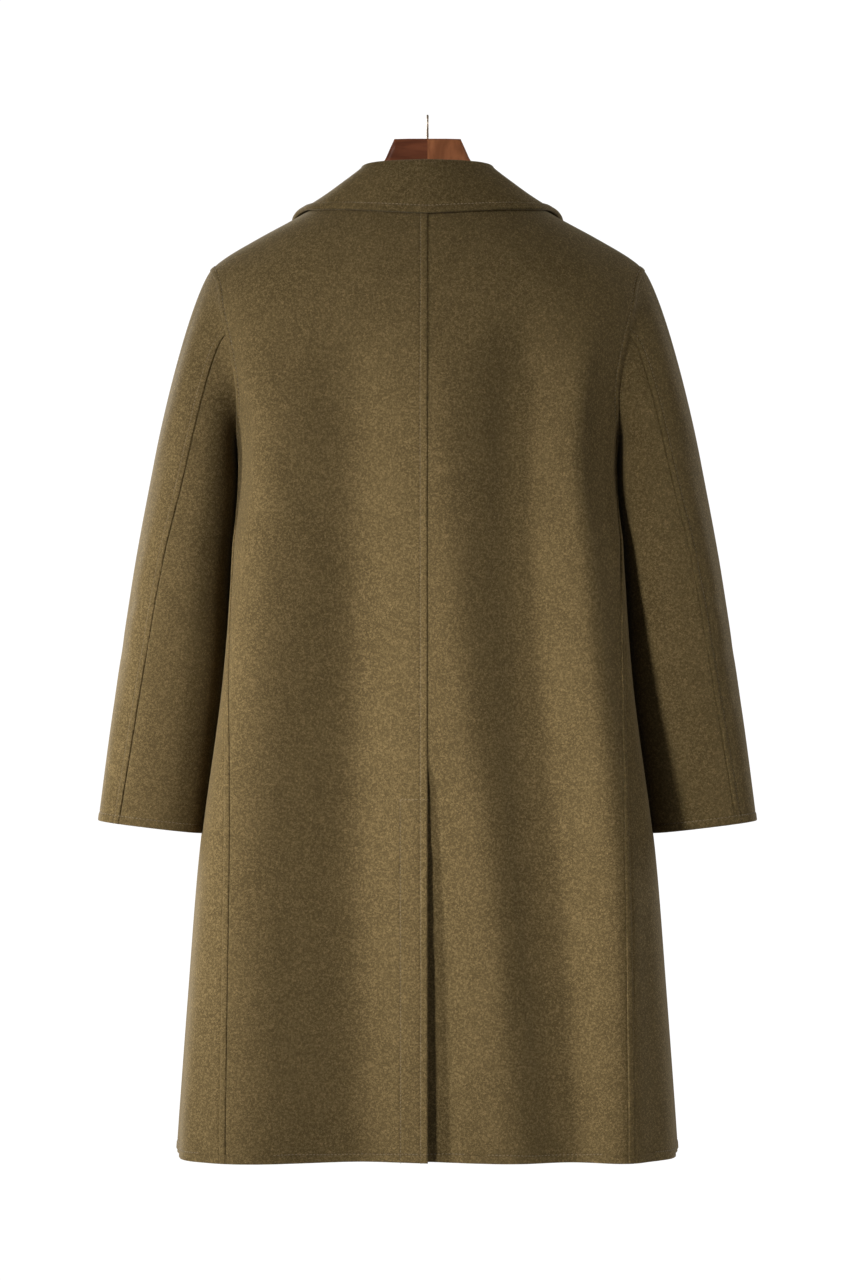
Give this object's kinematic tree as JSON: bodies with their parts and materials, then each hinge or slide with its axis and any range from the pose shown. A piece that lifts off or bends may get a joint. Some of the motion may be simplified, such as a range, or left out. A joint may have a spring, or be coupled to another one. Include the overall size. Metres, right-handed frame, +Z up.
{
  "type": "wool coat on a wooden hanger",
  "caption": "Knee-length olive-brown wool coat with a turned-down collar and a back vent, filled out and hanging on a dark wooden hanger with a wire hook.",
  "frame": {"origin": "underside of the hook's bend, where the rail carries the hanger", "axes": "+Z up, +Y towards the coat's front, +X towards the wearer's right"},
  "size_m": [0.7194, 0.2589, 1.1296],
  "materials": {
    "wool": "felted wool with a short fine nap",
    "horn": "dark brown, lightly polished",
    "wood": "dark brown varnish",
    "wire": "thin satin wire"
  },
  "bodies": {
    "root": {"back_left": "wool", "back_right": "wool", "front_left": "wool", "front_right": "wool", "top_sleeve_left": "wool", "top_sleeve_right": "wool", "under_sleeve_left": "wool", "under_sleeve_right": "wool", "collar": "wool", "button_1": "horn", "button_2": "horn", "button_3": "horn", "button_4": "horn", "hanger_left": "wood", "hanger_right": "wood", "hook": "wire"}
  },
  "joints": []
}
